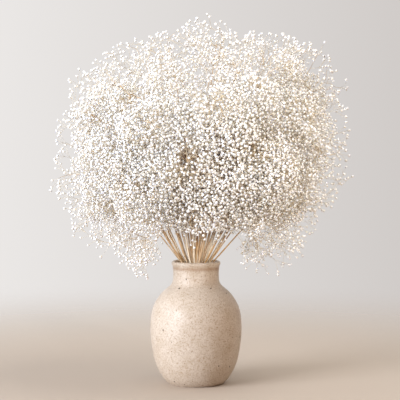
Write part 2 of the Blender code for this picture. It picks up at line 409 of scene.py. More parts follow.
# The heads
# Every stalk forks again and again, and each last fork ends in a head of florets. The heads fill the crown
# most densely near its outside, in round sprays with gaps between them, as those of a full bunch do.

HEAD_SEED = 41
HEAD_TRIES = 60000
MAIN_HEADS = 388
MAIN_SPACING = 0.0355
HEAD_DEPTH = 0.46
HEAD_OUTWARD_POWER = 1.4
SIDE_LOWEST_TILT = math.radians(157)
FRONT_LOWEST_TILT = math.radians(131)
FUNNEL_RADIUS = 0.046
FUNNEL_SLOPE = 0.95
FUNNEL_SLOPE_INSIDE = 0.30
UPRIGHT = (0.0, 0.0)
TO_FRONT = (math.radians(104), math.radians(-88))
TO_FRONT_RIGHT = (math.radians(112), math.radians(-66))
# Each set of sprays: its middle, how far it spreads, how many, most heads in each, share of the reach.
DOME_SETS = (
    (TO_FRONT, math.radians(46), 19, 90, (0.66, 0.86)),
    (UPRIGHT, math.radians(130), 50, 80, (0.68, 0.80)),
    (UPRIGHT, math.radians(118), 20, 60, (0.28, 0.56)),
    (TO_FRONT_RIGHT, math.radians(17), 4, 55, (0.72, 0.84)),
)
DOME_RADII = (0.031, 0.042)
DOME_OPEN_BELOW = -0.2
LOOSE_BAND = 0.080
LOOSE_POWER = 1.3
BACK_LOOSENESS = 0.7
BACK_LOOSE_DEPTH = 0.16
SIDE_SHARE_LOSS = 0.12
SIDE_SPACING_GAIN = 1.65
BETWEEN_HEADS = 200
BETWEEN_SPACING = 0.0185
BETWEEN_SHARES = (0.94, 0.22)
BETWEEN_FRONT_LIMIT = 0.55
DOME_SHIFT = math.radians(6)
DOME_DEPTH = 0.14
DOME_TRIES = 2500
DOME_SPACING = 0.0085
BACK_SPACING_GAIN = 0.30
FRINGE_DEPTH = 0.032
FRINGE_GAPS = 0.62
SPRAY_OUTLINE = (
    (-156, 0.228),
    (-148, 0.236),
    (-140, 0.229),
    (-132, 0.244),
    (-118, 0.250),
    (-112, 0.226),
    (-104, 0.245),
    (-88, 0.238),
    (-80, 0.241),
    (-72, 0.235),
    (-66, 0.222),
    (-60, 0.241),
    (-54, 0.233),
    (-48, 0.220),
    (-42, 0.226),
    (-31, 0.220),
    (-27, 0.195),
    (-17, 0.203),
    (-12, 0.183),
    (-8, 0.193),
    (-4, 0.216),
    (8, 0.217),
    (12, 0.214),
    (16, 0.198),
    (20, 0.183),
    (24, 0.210),
    (30, 0.212),
    (36, 0.230),
    (40, 0.261),
    (51, 0.272),
    (56, 0.257),
    (64, 0.257),
    (72, 0.249),
    (78, 0.234),
    (92, 0.241),
    (106, 0.244),
    (112, 0.231),
    (118, 0.216),
    (124, 0.255),
    (130, 0.256),
    (134, 0.236),
    (140, 0.242),
    (156, 0.235),
)
SKIRT_HEIGHT = 0.274
SKIRT_RADIUS = 0.165


def holds_florets(place, tilt, turn):
    """False in the funnel of bare stalks over the mouth and below the crown's lower edge."""
    lowest = FRONT_LOWEST_TILT + (SIDE_LOWEST_TILT - FRONT_LOWEST_TILT) * math.cos(turn) ** 2
    funnel = FUNNEL_RADIUS + FUNNEL_SLOPE * max(0.0, place.z - MOUTH_HEIGHT)
    return tilt < lowest and (place.z > CROWN_CENTRE.z or math.hypot(place.x, place.y) > funnel)


def scatter_heads(draw, heads, more, spacing, shares, front_limit):
    """Adds more heads to some, each clear of those before it, with its share of the crown's reach."""
    heads = np.array([tuple(head) for head in heads]).reshape(-1, 3)
    count = len(heads) + more
    for _ in range(HEAD_TRIES):
        if len(heads) == count:
            break
        tilt = math.acos(1 - 2 * draw.random())
        turn = 2 * math.pi * draw.random()
        place = crown_point(tilt, turn, shares[0] - shares[1] * draw.random() ** HEAD_OUTWARD_POWER)
        if not holds_florets(place, tilt, turn):
            continue
        if abs(direction(tilt, turn).y) > front_limit:
            continue
        if len(heads) and np.linalg.norm(heads - place, axis=1).min() < spacing:
            continue
        heads = np.vstack([heads, place])
    return [Vector(head) for head in heads]


def inside_outline(place):
    """How far a point lies within the outline that the bunch shows from the front."""
    out = place - CROWN_CENTRE
    from_top = math.degrees(math.atan2(out.x, out.z))
    return np.interp(from_top, *zip(*SPRAY_OUTLINE)) - math.hypot(out.x, out.z)


def looseness(head):
    """0 in the middle of the bunch's front, where the sprays crowd together, to 1 at its loose outside."""
    outside = min(1.0, max(0.0, 1 - inside_outline(head) / LOOSE_BAND)) ** LOOSE_POWER
    behind = min(1.0, max(0.0, head.y) / BACK_LOOSE_DEPTH)
    return max(outside, BACK_LOOSENESS * behind)


def dome_places(axis, count, widest, draw):
    """Tilt and turn of each of a count of sprays, spread evenly over a cap about an axis."""
    for number in range(count):
        spread = math.sqrt((number + 0.5) / count)
        tilt = math.acos(1 - spread * spread * (1 - math.cos(widest)))
        turn = number * GOLDEN_ANGLE
        tilt += draw.uniform(-DOME_SHIFT, DOME_SHIFT)
        turn += draw.uniform(-DOME_SHIFT, DOME_SHIFT)
        out = axis.to_track_quat("Z", "Y") @ direction(tilt, turn)
        yield math.acos(max(-1, min(1, out.z))), math.atan2(out.y, out.x)


def dome_heads(tilt, turn, most, shares, heads, draw):
    """Heads over one rounded spray of the crown, clear of the heads of the others."""
    sideways = math.sin(tilt) * math.cos(turn) ** 2
    middle = crown_point(tilt, turn, draw.uniform(*shares) * (1 - SIDE_SHARE_LOSS * sideways))
    behind = max(0.0, direction(tilt, turn).y)
    spacing = DOME_SPACING * (1 + SIDE_SPACING_GAIN * looseness(middle) + BACK_SPACING_GAIN * behind)
    radius = draw.uniform(*DOME_RADII)
    others = np.array([tuple(head) for head in heads])
    found = []
    for _ in range(DOME_TRIES):
        if len(found) == most:
            break
        out = direction(math.acos(1 - 2 * draw.random()), 2 * math.pi * draw.random())
        place = middle + out * radius * (1 - DOME_DEPTH * draw.random() ** 2)
        funnel = FUNNEL_RADIUS + FUNNEL_SLOPE_INSIDE * max(0.0, place.z - MOUTH_HEIGHT)
        from_axis = math.hypot(place.x, place.y)
        low = place.z < SKIRT_HEIGHT and from_axis < SKIRT_RADIUS
        if out.dot(direction(tilt, turn)) < DOME_OPEN_BELOW or from_axis < funnel or low:
            continue
        if np.linalg.norm(others - place, axis=1).min() < spacing:
            continue
        found.append(place)
        others = np.vstack([others, place])
    return found


def nearest_stalk(head, paths):
    """The number of the stalk that comes closest to a head."""
    gaps = [np.linalg.norm(path - head, axis=1).min() for path in paths]
    return int(np.argmin(gaps))


# The twigs
# Each twig leaves its stalk at a narrow angle and bends to its head. It thins with every fork, from 1.5 mm
# to the half millimetre of the last ones, and dries to a pale straw that darkens towards the old wood.

# Where the heart of the bunch lies, how it is stretched and how far out it fades. In it the straw and the
# florets are painted brown as shade.
HEART_SHADE_MIDDLE = (0.012, -0.004, 0.352)
HEART_SHADE_STRETCH = (1.30, 0.86, 1.25)
HEART_SHADE_WITHIN = (0.122, 0.162)
CYME_STEP = 0.0064
CYME_STEP_AT_EDGE = 0.0125
ROOT_DEPTH = 0.0030
FIRST_FORK_SHARE = 0.22
RUN_WEIGHT = 0.35
FORK_ANGLE = math.radians(38)
FORK_WEIGHT = 0.9
TWIG_STEPS = 6
TWIG_STEP_LENGTH = 0.012
TWIG_BEND = 0.38
TWIG_TIP_RADIUS = 0.00030
TWIG_LOAD_POWER = 0.40
TWIG_WAVER = 0.0016
FULL_WAVER_LENGTH = 0.05
MAIN_TWIGS_STOP_SHORT = 2.6
FILL_TWIGS_STOP_SHORT = 2.1
TONE_DRIFT_SIZE = 0.030
FLECK_SIZE = 0.004
SHOOT_FORK_HEIGHT = 0.150
SHOOT_TURN = math.radians(24)
SHOOT_SHARE = 0.85
SHOOT_RADIUS = 0.0008
SHOOT_DRAWN_IN = 0.2


def fork_cost(head, place, growing, run):
    """What it costs to reach a head from a point: the twig, the run behind it and a wrong fork angle."""
    reach = head - place
    angle = reach.angle(growing)
    return reach.length * (1 + FORK_WEIGHT * (angle - FORK_ANGLE) ** 2) + RUN_WEIGHT * run


class Twig:
    """One twig: its line, the twig that it forks from and, point by point, the heads that it carries."""

    def __init__(self, path, parent, parent_at):
        self.path = path
        self.parent = parent
        self.parent_at = parent_at
        self.load = [0.0] * len(path)

    def carry(self, amount, at=None):
        """Adds to the load at every point below the one where the amount hangs."""
        last = len(self.path) - 1 if at is None else at
        for index in range(last + 1):
            self.load[index] += amount
        if self.parent:
            self.parent.carry(amount, self.parent_at)


def bent_path(start, growing, head, short_by, draw):
    """A twig's line, which sets out along the wood that it forks from and ends short of its head."""
    end = head - (head - start).normalized() * min(short_by, 0.5 * (head - start).length)
    length = (end - start).length
    turned = (end - start).normalized().lerp(growing.normalized(), TWIG_BEND)
    middle = start + turned.normalized() * length * 0.5
    steps = max(2, min(TWIG_STEPS, round(length / TWIG_STEP_LENGTH)))
    path = []
    for step in range(steps + 1):
        t = step / steps
        place = start * (1 - t) ** 2 + middle * 2 * t * (1 - t) + end * t**2
        waver = Vector([draw.uniform(-1, 1) for _ in range(3)]) * TWIG_WAVER
        path.append(place + waver * 4 * t * (1 - t) * min(1, length / FULL_WAVER_LENGTH))
    return path


def side_shoot(stalk, turned):
    """The long thin shoot that leaves a stalk inside the vase and rises beside it into the crown."""
    path = []
    for at, place in enumerate(stalk.path):
        away = min(1.0, max(0.0, place.z - SHOOT_FORK_HEIGHT) / (MOUTH_HEIGHT - SHOOT_FORK_HEIGHT))
        if away > 0 or stalk.path[at + 1].z > SHOOT_FORK_HEIGHT:
            turn = Matrix.Rotation(turned * away, 3, "Z")
            drawn_in = 1 - SHOOT_DRAWN_IN * away
            path.append(turn @ Vector((place.x * drawn_in, place.y * drawn_in, place.z)))
    return Twig(path[: round(len(path) * SHOOT_SHARE)], None, 0)


def grow_twigs(stalk, shoot, coarse_path, main_heads, fill_heads, draw):
    """Twigs to the main heads, then to the heads that fill in."""
    runs = run_along(coarse_path)
    first = runs[-1] * FIRST_FORK_SHARE + runs[-STALK_STEPS_ABOVE_MOUTH - 1] * (1 - FIRST_FORK_SHARE)
    points = []
    for place, before, run in zip(coarse_path[1:], coarse_path, runs[1:]):
        along = place - before
        if run > first:
            rooted = place - along.normalized() * ROOT_DEPTH
            halfway = (place + before) / 2
            for spot, at_run in ((rooted, run), (halfway, run - along.length / 2)):
                at = min(range(len(stalk.path)), key=lambda index: (stalk.path[index] - spot).length)
                points.append((spot, along, at_run, stalk, at))
    twigs = []

    def reach_all(heads, from_middles):
        waiting = {}
        for index, head in enumerate(heads):
            waiting[index] = min((fork_cost(head, *point[:3]), at) for at, point in enumerate(points))
        while waiting:
            index = min(waiting, key=waiting.get)
            start, growing, run, parent, parent_at = points[waiting.pop(index)[1]]
            end = heads[index]
            short_by = CYME_STEP * (FILL_TWIGS_STOP_SHORT if from_middles else MAIN_TWIGS_STOP_SHORT)
            path = bent_path(parent.path[parent_at], growing, end, short_by, draw)
            twig = Twig(path, parent, parent_at)
            twigs.append(twig)
            new_points = [(end, end - start, run + (end - start).length, twig, len(path) - 1)]
            if from_middles:
                new_points.extend(middle_points(twig, run))
            for point in new_points:
                points.append(point)
                for other in waiting:
                    cost = fork_cost(heads[other], *point[:3])
                    waiting[other] = min(waiting[other], (cost, len(points) - 1))

    def middle_points(twig, run):
        runs_here = run_along(twig.path)
        found = []
        for at in range(1, len(twig.path) - 1):
            growing = twig.path[at + 1] - twig.path[at - 1]
            found.append((twig.path[at], growing, run + runs_here[at], twig, at))
        return found

    reach_all(main_heads, False)
    for twig in [shoot, *twigs]:
        points.extend(middle_points(twig, 0.0))
    reach_all(fill_heads, True)
    return twigs


def section_curve(name, sides):
    """A closed outline with this many corners, which a tube is drawn along its path with."""
    outline = bpy.data.curves.new(name, "CURVE")
    outline.dimensions = "2D"
    spline = outline.splines.new("POLY")
    spline.points.add(sides - 1)
    for corner, point in enumerate(spline.points):
        angle = math.tau * corner / sides
        point.co = (math.cos(angle), math.sin(angle), 0, 1)
    spline.use_cyclic_u = True
    return bpy.data.objects.new(name, outline)


def tubes_mesh(name, lines, section, age):
    """One mesh of closed tubes, each given by its path, its radius at each point and its tone."""
    curve = bpy.data.curves.new(name, "CURVE")
    curve.dimensions = "3D"
    curve.bevel_mode = "OBJECT"
    curve.bevel_object = section
    curve.use_fill_caps = True
    for path, radii, _ in lines:
        spline = curve.splines.new("POLY")
        spline.points.add(len(path) - 1)
        for point, place, radius in zip(spline.points, path, radii):
            point.co = (*place, 1)
            point.radius = radius
    drawn = bpy.data.objects.new(name, curve)
    made_for_scene.objects.link(drawn)
    graph = bpy.context.evaluated_depsgraph_get()
    mesh = bpy.data.meshes.new_from_object(drawn.evaluated_get(graph))
    bpy.data.objects.remove(drawn)
    ages = mesh.attributes.new("age", "FLOAT", "POINT")
    ages.data.foreach_set("value", [age] * len(mesh.vertices))
    corners = len(section.data.splines[0].points)
    # The caps' vertices come first, the last tube's before the others, and then the rings of each tube.
    capped = [(2, tone) for _, _, tone in reversed(lines)] + [(len(path), tone) for path, _, tone in lines]
    tones = [tone for rings, tone in capped for _ in range(rings * corners)]
    mesh.attributes.new("tone", "FLOAT", "POINT").data.foreach_set("value", tones)
    return mesh


def heart_shade_mask(tree, place):
    """0 in the heart of the bunch, where brown is painted in as shade, to 1 at its outside."""
    away = add_node(tree, "VectorMath", {0: place, 1: HEART_SHADE_MIDDLE}, operation="SUBTRACT")
    away = add_node(tree, "VectorMath", {0: away.outputs["Vector"], 1: HEART_SHADE_STRETCH}, operation="MULTIPLY")
    away = add_node(tree, "VectorMath", {0: away.outputs["Vector"]}, operation="LENGTH")
    return add_node(
        tree,
        "MapRange",
        {"Value": away.outputs["Value"], "From Min": HEART_SHADE_WITHIN[0], "From Max": HEART_SHADE_WITHIN[1]},
    )


def dried_straw():
    """Green stalks and twigs, hung up until they dried to hollow, fibrous straw.

    It is matt and golden on the old wood, paler on the young, painted dark brown as shade in the heart of
    the bunch, and flecked with brown where the skin is rubbed. Its fibres are too fine to show but for a
    faint roughness.
    """
    finish, tree, shader = new_finish("dried_straw")
    place = add_node(tree, "TexCoord").outputs["Object"]
    strand = add_node(tree, "Attribute", attribute_name="tone")
    drift = add_node(
        tree,
        "TexNoise",
        {"Vector": place, "Scale": 1 / TONE_DRIFT_SIZE, "Detail": 3.0, "Roughness": 0.6},
    )
    blend = add_node(tree, "Math", {0: strand.outputs["Fac"], 1: drift.outputs["Fac"]}, operation="ADD")
    tone = add_node(
        tree,
        "MapRange",
        {"Value": blend.outputs["Value"], "From Min": 0.55, "From Max": 1.45},
    )
    outside = heart_shade_mask(tree, place)
    age = add_node(tree, "Attribute", attribute_name="age")
    old = add_node(
        tree,
        "MixRGB",
        {"Fac": tone.outputs["Result"], "Color1": linear("b98c4e"), "Color2": linear("fff6e2")},
    )
    young = add_node(
        tree,
        "MixRGB",
        {"Fac": tone.outputs["Result"], "Color1": linear("d8c49e"), "Color2": linear("f1e8d6")},
    )
    age_and_shade_tone = add_node(
        tree,
        "MixRGB",
        {"Fac": age.outputs["Fac"], "Color1": young.outputs["Color"], "Color2": old.outputs["Color"]},
    )
    # Painted shade: the straw is darkened to brown towards the heart of the bunch.
    straw = add_node(
        tree,
        "MixRGB",
        {"Fac": outside.outputs["Result"], "Color1": linear("6b4a27"), "Color2": age_and_shade_tone.outputs["Color"]},
    )
    fleck = add_node(
        tree,
        "TexNoise",
        {"Vector": place, "Scale": 1 / FLECK_SIZE, "Detail": 2.0, "Roughness": 0.5},
    )
    rubbed = add_node(
        tree,
        "MapRange",
        {"Value": fleck.outputs["Fac"], "From Min": 0.58, "From Max": 0.75, "To Max": 0.6},
    )
    flecked = add_node(
        tree,
        "MixRGB",
        {"Fac": rubbed.outputs["Result"], "Color1": straw.outputs["Color"], "Color2": linear("7d6038")},
    )
    tree.links.new(flecked.outputs["Color"], shader.inputs["Base Color"])
    shader.inputs["Roughness"].default_value = 0.62
    fibres = add_node(tree, "Bump", {"Height": fleck.outputs["Fac"], "Strength": 0.3, "Distance": 0.0003})
    tree.links.new(fibres.outputs["Normal"], shader.inputs["Normal"])
    return finish


# The florets
# A gypsophila floret is a double flower about 5 mm across: two whorls of small notched petals over a
# pale bell-shaped calyx, on a stalk as fine as a hair. Dried, the petals turn papery and curl inwards.

FLORET_RADIUS = 0.0024
FLORET_RADIUS_AT_EDGE = 0.0029
CLOSEST_FLORETS = 0.0044
CLOSEST_AT_EDGE = 0.0112
FLORET_SIZES = (0.86, 1.14)
FLOWER_SHARE = 0.84
OPEN_SHARE_AT_EDGE = 0.25
CALYX_HEIGHT = 0.3
CALYX_DEPTH = 2.2
PETAL_TIP_RISE = 1.1
FLORETS_PAST_REACH = 0.007
FLORETS_PAST_OUTLINE = 0.003
CYME_SEED = 7
CYME_SHRINK = 0.84
CYME_ANGLE = math.radians(33)
CYME_LEAST_AND_MOST = (0.75, 1.25)
CYME_TWIST_DEGREES = 25
CYME_SKIP = 0.10
FULL_CYME_SHARE = 0.8
FULL_CYME_FROM = 0.115
CYME_OUTWARD_PULL = 0.55
PEDICEL_LENGTH = 0.0050
PEDICEL_LENGTHS = (0.75, 1.2)
PEDICEL_GAIN = 0.8
PEDICEL_WOBBLE = 0.22
PEDICEL_RADIUS = 0.00018
CREASE_SIZE = 0.0012
STALK_TAPER_POWER = 1.5
TWIG_RADIUS_LIMIT = 0.0008
STALK_AGE = 1.0
TWIG_AGE = 0.6
HAIR_AGE = 0.0


def petal_whorl(shape, petals, radius, depth, notch, height, turn):
    """Adds a closed star of petals, domed above and drawn to a point below, and returns its vertices."""
    made = bmesh.ops.create_uvsphere(shape, u_segments=2 * petals, v_segments=2, radius=1)["verts"]
    for vert in made:
        x, y, z = vert.co
        if abs(z) > 0.5:
            vert.co = (0, 0, height + (depth if z > 0 else -depth * CALYX_DEPTH))
            continue
        corner = round(math.atan2(y, x) / (math.pi / petals))
        reach = radius if corner % 2 == 0 else radius * notch
        rise = depth * PETAL_TIP_RISE if corner % 2 == 0 else 0
        angle = corner * math.pi / petals + turn
        vert.co = (reach * math.cos(angle), reach * math.sin(angle), height + rise)
    return made


def floret_mesh(name, whorls):
    """A floret of unit radius that opens towards +Z, its calyx's foot at the origin."""
    shape = bmesh.new()
    tip = shape.verts.layers.float.new("tip")
    for whorl in whorls:
        for vert in petal_whorl(shape, *whorl):
            vert[tip] = 1.0 if vert.co.z > CALYX_HEIGHT else 0.0
    bmesh.ops.recalc_face_normals(shape, faces=shape.faces)
    mesh = bpy.data.meshes.new(name)
    shape.to_mesh(mesh)
    shape.free()
    return mesh


# Each whorl: petals, radius, depth, share of the radius at the notches, height and turn.
OPEN_FLORET = floret_mesh(
    "open_floret",
    ((5, 1.0, 0.42, 0.74, 0.60, 0.0), (5, 0.72, 0.42, 0.70, 1.05, 0.63)),
)
HALF_OPEN_FLORET = floret_mesh("half_open_floret", ((5, 1.0, 0.50, 0.76, 0.85, 0.3),))
BUD = floret_mesh("bud", ((3, 0.72, 0.66, 0.95, 0.75, 0.0),))


class Crowd:
    """The florets placed so far, by the cell of space that they lie in, so that none crowds another."""

    def __init__(self):
        self.cells = {}

    def cell(self, place):
        """The cell that a place lies in."""
        return tuple(int(math.floor(c / CLOSEST_AT_EDGE)) for c in place)

    def has_room(self, place, gap):
        """True where no floret lies nearer than a gap."""
        i, j, k = self.cell(place)
        for near in itertools.product((i - 1, i, i + 1), (j - 1, j, j + 1), (k - 1, k, k + 1)):
            if any((other - place).length < gap for other in self.cells.get(near, ())):
                return False
        return True

    def add(self, place):
        """Takes in a floret at a place."""
        self.cells.setdefault(self.cell(place), []).append(place)


def in_reach(place):
    """True where a floret lies within the crown's outline, or no more than a little past it."""
    out = place - CROWN_CENTRE
    if inside_outline(place) < -FLORETS_PAST_OUTLINE:
        return False
    tilt = math.acos(max(-1, min(1, out.z / out.length)))
    return out.length < crown_reach(tilt, math.atan2(out.y, out.x)) + FLORETS_PAST_REACH


def grow_cyme(place, along, side, order, step, loose, draw, crowd, florets):
    """A floret on its own stalk between two side branches, which fork in the same way again.

    Returns the lines of its hairs. Each ends in a floret, and the first one starts at the cyme's place.
    """
    wobble = Vector([draw.uniform(-1, 1) for _ in range(3)]) * PEDICEL_WOBBLE
    facing = (along + wobble).normalized()
    length = PEDICEL_LENGTH * (1 + loose) + step * PEDICEL_GAIN * order * (1 - loose)
    floret = place + facing * length * draw.uniform(*PEDICEL_LENGTHS)
    gap = CLOSEST_FLORETS + (CLOSEST_AT_EDGE - CLOSEST_FLORETS) * loose
    from_here, further = [], []
    if crowd.has_room(floret, gap) and in_reach(floret):
        crowd.add(floret)
        florets.append((floret, facing))
        from_here.append([place, floret])
    for sign in (-1, 1) if order else ():
        if draw.random() < CYME_SKIP:
            continue
        angle = sign * CYME_ANGLE * draw.uniform(*CYME_LEAST_AND_MOST)
        branch = (Matrix.Rotation(angle, 3, side) @ along).normalized()
        end = place + branch * step * draw.uniform(*CYME_LEAST_AND_MOST)
        quarter = math.radians(90 + draw.uniform(-CYME_TWIST_DEGREES, CYME_TWIST_DEGREES))
        turned = Matrix.Rotation(quarter, 3, branch) @ side
        next_side = (turned - branch * turned.dot(branch)).normalized()
        shorter = step * CYME_SHRINK
        lines = grow_cyme(end, branch, next_side, order - 1, shorter, loose, draw, crowd, florets)
        if lines:
            from_here.append([place, *lines[0]])
            further.extend(lines[1:])
    return from_here + further


def any_side(along, draw):
    """A random direction square to another."""
    rough = Vector([draw.uniform(-1, 1) for _ in range(3)])
    return (rough - along * rough.dot(along)).normalized()


def florets_shape(florets, draw):
    """A bmesh of every floret of one stem, each a copy of an open floret, a half-open one or a bud."""
    shape = bmesh.new()
    tip = shape.verts.layers.float.new("tip")
    tone = shape.verts.layers.float.new("tone")
    for place, facing, loose in florets:
        size = FLORET_RADIUS + (FLORET_RADIUS_AT_EDGE - FLORET_RADIUS) * loose
        pick = draw.random()
        opened = OPEN_FLORET if draw.random() < loose * OPEN_SHARE_AT_EDGE else HALF_OPEN_FLORET
        template = opened if pick < FLOWER_SHARE else BUD
        spin = Matrix.Rotation(draw.uniform(0, math.tau), 4, "Z")
        turn = facing.to_track_quat("Z", "Y").to_matrix().to_4x4()
        grown = Matrix.Scale(size * draw.uniform(*FLORET_SIZES), 4)
        whole = Matrix.Translation(place) @ turn @ spin @ grown
        before = len(shape.verts)
        template.transform(whole)
        shape.from_mesh(template)
        template.transform(whole.inverted())
        shape.verts.ensure_lookup_table()
        mark = draw.random()
        for index in range(before, len(shape.verts)):
            shape.verts[index][tone] = mark
    return shape


def papery_petals():
    """Thin white petals over a pale green calyx, air-dried until both turned papery.

    They are matt and finely creased, and let a little light through. The white fades to cream along the
    creases and the calyx dries to straw; the florets in the heart of the bunch are painted brown as shade.
    """
    finish, tree, shader = new_finish("papery_petals")
    tone = add_node(tree, "Attribute", attribute_name="tone")
    tip = add_node(tree, "Attribute", attribute_name="tip")
    petal = add_node(
        tree,
        "MixRGB",
        {"Fac": tone.outputs["Fac"], "Color1": linear("fcfbf9"), "Color2": linear("f4f1eb")},
    )
    place = add_node(tree, "TexCoord").outputs["Object"]
    out_of_heart_shade = heart_shade_mask(tree, place)
    # Painted shade: the petals are darkened to brown towards the heart of the bunch.
    age_and_shade_tone = add_node(
        tree,
        "MixRGB",
        {"Fac": out_of_heart_shade.outputs["Result"], "Color1": linear("a06826"), "Color2": petal.outputs["Color"]},
    )
    on_petal = add_node(
        tree,
        "MapRange",
        {"Value": tip.outputs["Fac"], "From Min": 0.0, "From Max": 0.5},
    )
    floret = add_node(
        tree,
        "MixRGB",
        {"Fac": on_petal.outputs["Result"], "Color1": linear("d9cdb8"), "Color2": age_and_shade_tone.outputs["Color"]},
    )
    crease = add_node(
        tree,
        "TexNoise",
        {"Vector": place, "Scale": 1 / CREASE_SIZE, "Detail": 2.0, "Roughness": 0.6},
    )
    fading = add_node(
        tree,
        "MapRange",
        {"Value": crease.outputs["Fac"], "From Min": 0.55, "From Max": 0.80, "To Max": 0.35},
    )
    creased = add_node(
        tree,
        "MixRGB",
        {"Fac": fading.outputs["Result"], "Color1": floret.outputs["Color"], "Color2": linear("e2d6c2")},
    )
    tree.links.new(creased.outputs["Color"], shader.inputs["Base Color"])
    dryness = add_node(tree, "MapRange", {"Value": crease.outputs["Fac"], "To Min": 0.72, "To Max": 0.88})
    tree.links.new(dryness.outputs["Result"], shader.inputs["Roughness"])
    wrinkles = add_node(
        tree,
        "Bump",
        {"Height": crease.outputs["Fac"], "Strength": 0.25, "Distance": 0.0002},
    )
    tree.links.new(wrinkles.outputs["Normal"], shader.inputs["Normal"])
    shader.inputs["Subsurface Weight"].default_value = 0.5
    shader.inputs["Subsurface Radius"].default_value = (0.003, 0.0027, 0.0022)
    shader.inputs["Subsurface Scale"].default_value = 1.0
    return finish


def stalk_lines(stalk, shoot, draw):
    """The line of a stalk and of its side shoot, which both thin towards their tips."""
    runs = run_along(stalk.path)
    shares = [(run / runs[-1]) ** STALK_TAPER_POWER for run in runs]
    taper = [STALK_RADIUS + (STALK_TIP_RADIUS - STALK_RADIUS) * share for share in shares]
    runs = run_along(shoot.path)
    thin = [SHOOT_RADIUS + (STALK_TIP_RADIUS - SHOOT_RADIUS) * run / runs[-1] for run in runs]
    return [(stalk.path, taper, draw.random()), (shoot.path, thin, draw.random())]


def dress_twigs(twigs, draw, crowd):
    """The lines of one stem's twigs, the hairs of the cymes at their tips, and the florets on those."""
    twig_lines, hair_lines, florets = [], [], []
    for twig in twigs:
        twig.carry(1.0)
    for twig in twigs:
        head = twig.path[-1].copy()
        along = (twig.path[-1] - twig.path[-2]).normalized()
        radii = [min(TWIG_RADIUS_LIMIT, TWIG_TIP_RADIUS * load**TWIG_LOAD_POWER) for load in twig.load]
        twig_lines.append((twig.path, radii, draw.random()))
        outward = (head - CROWN_CENTRE).normalized()
        growing = (along + outward * CYME_OUTWARD_PULL).normalized()
        loose = looseness(head)
        step = CYME_STEP + (CYME_STEP_AT_EDGE - CYME_STEP) * loose
        outside = (head - CROWN_CENTRE).length > FULL_CYME_FROM
        order = 3 if draw.random() < FULL_CYME_SHARE and outside else 2
        blooms = []
        hairs = grow_cyme(head, growing, any_side(growing, draw), order, step, loose, draw, crowd, blooms)
        hair_lines.extend((hair, [PEDICEL_RADIUS] * len(hair), draw.random()) for hair in hairs)
        florets.extend((place, facing, loose) for place, facing in blooms)
    return twig_lines, hair_lines, florets


straw = dried_straw()
petals = papery_petals()
twig_section = section_curve("twig_section", 3)
stalk_section = section_curve("stalk_section", 8)

coarse_paths = [stalk_path(number, STALK_STEPS_ABOVE_MOUTH) for number in range(STEM_COUNT)]
near_paths = [np.array([tuple(p) for p in path[-STALK_STEPS_ABOVE_MOUTH:]]) for path in coarse_paths]
head_draw = random.Random(HEAD_SEED)
main_heads = scatter_heads(head_draw, [], MAIN_HEADS, MAIN_SPACING, (1, HEAD_DEPTH), 1)
shares = [[[], []] for _ in range(STEM_COUNT)]
for head in main_heads:
    shares[nearest_stalk(head, near_paths)][0].append(head)
all_heads = list(main_heads)
for cap, widest, count, most, shares_out in DOME_SETS:
    for tilt, turn in dome_places(direction(*cap), count, widest, head_draw):
        all_heads += dome_heads(tilt, turn, most, shares_out, all_heads, head_draw)
all_heads = scatter_heads(
    head_draw, all_heads, BETWEEN_HEADS, BETWEEN_SPACING, BETWEEN_SHARES, BETWEEN_FRONT_LIMIT
)
for head in all_heads[MAIN_HEADS:]:
    if inside_outline(head) < FRINGE_DEPTH and head_draw.random() < FRINGE_GAPS:
        continue
    shares[nearest_stalk(head, near_paths)][1].append(head)

crowd = Crowd()
for number in range(STEM_COUNT):
    draw = random.Random(CYME_SEED + number)
    name = f"gypsophila_stem_{number + 1:02d}"
    fine = stalk_path(number, STALK_STEPS_ABOVE_MOUTH * STALK_FINENESS)
    inside = smooth_through(fine[: len(SPREAD_IN_VASE) + 1], STALK_FINENESS)
    stalk = Twig([*inside, *fine[len(SPREAD_IN_VASE) + 1 :]], None, 0)
    shoot = side_shoot(stalk, SHOOT_TURN * (-1) ** number)
    twigs = grow_twigs(stalk, shoot, coarse_paths[number], *shares[number], draw)
    thick_lines = stalk_lines(stalk, shoot, draw)
    twig_lines, hair_lines, florets = dress_twigs(twigs, draw, crowd)

    wood = bmesh.new()
    wood.from_mesh(tubes_mesh(name + "_stalk", thick_lines, stalk_section, STALK_AGE))
    wood.from_mesh(tubes_mesh(name + "_twigs", twig_lines, twig_section, TWIG_AGE))
    wood.from_mesh(tubes_mesh(name + "_hairs", hair_lines, twig_section, HAIR_AGE))
    bmesh.ops.remove_doubles(wood, verts=wood.verts, dist=0.000001)
    bmesh.ops.recalc_face_normals(wood, faces=wood.faces)
    wooden = new_piece(name + "_twigs", wood, straw)
    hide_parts(name)
    bloom = new_piece(name + "_florets", florets_shape(florets, draw), petals)
    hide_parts(name)


# The setting
# A round pale floor that fades into a plain pale background, and soft studio light: a large soft box on the
# left, weak ones above and low on the right, and a narrow lamp on the crown. The camera stands in front,
# level with the crown.

CAMERA_DISTANCE = 2.4
CAMERA_HEIGHT = 0.44
FRAME_MIDDLE = Vector((0.0065, 0, 0.299))
FRAME_WIDTH = 0.648
FLOOR_RADIUS = 1.5
FLOOR_CLEAR_FROM = 0.20
FLOOR_CORNERS = 96
BRIGHT_SIDE = (-0.42, 0.65, 0.6)
BRIGHT_SIDE_LIGHT = (0.77, 0.78, 0.80, 1)
DIM_SIDE_LIGHT = (0.18, 0.10, 0.035, 1)

disc = bmesh.new()
bmesh.ops.create_circle(disc, cap_ends=True, segments=FLOOR_CORNERS, radius=FLOOR_RADIUS)
floor_mesh = bpy.data.meshes.new("floor")
disc.to_mesh(floor_mesh)
disc.free()
